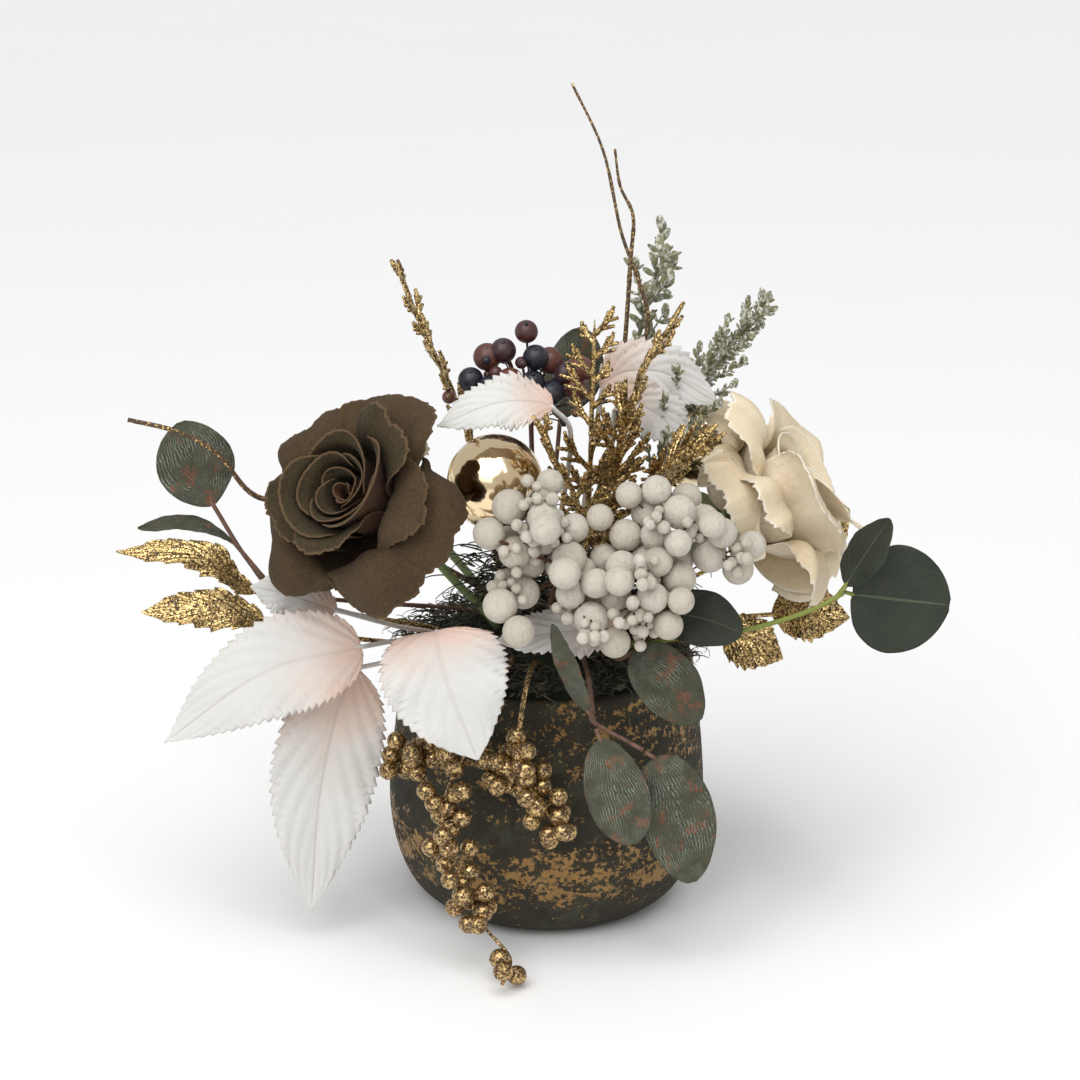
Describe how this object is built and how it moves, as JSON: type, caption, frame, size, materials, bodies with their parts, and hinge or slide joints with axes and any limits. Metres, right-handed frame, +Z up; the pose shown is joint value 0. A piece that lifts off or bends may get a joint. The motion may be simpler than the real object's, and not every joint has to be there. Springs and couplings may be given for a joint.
{
  "type": "floral table centerpiece",
  "caption": "Table centrepiece of fabric roses, velvet and glittered leaves, berry sprays, gold baubles and frosted sprigs, arranged in foam in a rustic round pot with a trailing berry spray.",
  "frame": {"origin": "centre of the pot's flat underside, where it rests on the table", "axes": "+Z up along the pot's axis; the arrangement's front, with the trailing berries, faces -Y; +X is to the right of someone who looks at the front"},
  "size_m": [0.3581, 0.1878, 0.3683],
  "materials": {
    "stoneware": "matte",
    "foam": "matte",
    "moss": "matte",
    "stem_green": "matte",
    "brown_petal": "matte",
    "cream_petal": "matte",
    "gold_ball": "polished",
    "white_berry": "matte",
    "dark_berry": "satin",
    "glitter": "satin",
    "frosted_green": "matte",
    "blush_leaf": "matte",
    "lamb_ear": "matte",
    "eucalyptus": "matte"
  },
  "bodies": {
    "root": {"back_rose_heart": "cream_petal", "back_rose_petal_1": "cream_petal", "back_rose_petal_2": "cream_petal", "back_rose_petal_3": "cream_petal", "back_rose_stem": "stem_green", "blush_leaf_above_ball": "blush_leaf", "blush_leaf_behind_rose": "blush_leaf", "blush_leaf_front": "blush_leaf", "blush_leaf_hanging": "blush_leaf", "blush_leaf_long": "blush_leaf", "blush_leaf_mid_right": "blush_leaf", "blush_leaf_top_right": "blush_leaf", "blush_leaf_under_berries": "blush_leaf", "brown_rose_heart": "brown_petal", "brown_rose_petal_1": "brown_petal", "brown_rose_petal_2": "brown_petal", "brown_rose_petal_3": "brown_petal", "brown_rose_petal_4": "brown_petal", "brown_rose_petal_5": "brown_petal", "brown_rose_petal_6": "brown_petal", "brown_rose_stem": "stem_green", "copper_leaf_spray": "lamb_ear", "cream_rose_heart": "cream_petal", "cream_rose_petal_1": "cream_petal", "cream_rose_petal_2": "cream_petal", "cream_rose_petal_3": "cream_petal", "cream_rose_petal_4": "cream_petal", "cream_rose_petal_5": "cream_petal", "cream_rose_stem": "stem_green", "dark_berry_spray": "dark_berry", "eucalyptus_leaf_low": "eucalyptus", "eucalyptus_leaf_round": "eucalyptus", "eucalyptus_stem": "eucalyptus", "foam_block": "foam", "frosted_boxwood": "frosted_green", "frosted_leaf_large": "lamb_ear", "frosted_leaf_oval": "lamb_ear", "frosted_leaf_upper": "lamb_ear", "frosted_pine": "frosted_green", "frosted_trail_stem": "lamb_ear", "gold_ball_back": "gold_ball", "gold_ball_front": "gold_ball", "gold_berries_left": "glitter", "gold_berries_right": "glitter", "gold_cedar_far_left": "glitter", "gold_cedar_low_left": "glitter", "gold_cedar_right": "glitter", "gold_cedar_tall": "glitter", "gold_leaf_left_lower": "glitter", "gold_leaf_left_upper": "glitter", "gold_leaf_right_lower": "glitter", "gold_leaf_right_middle": "glitter", "gold_leaf_right_upper": "glitter", "moss_ring": "moss", "olive_leaf_back": "lamb_ear", "pot": "stoneware", "white_berries_left": "white_berry", "white_berries_right": "white_berry", "willow_twig_left": "glitter", "willow_twigs_tall": "glitter"}
  },
  "joints": []
}
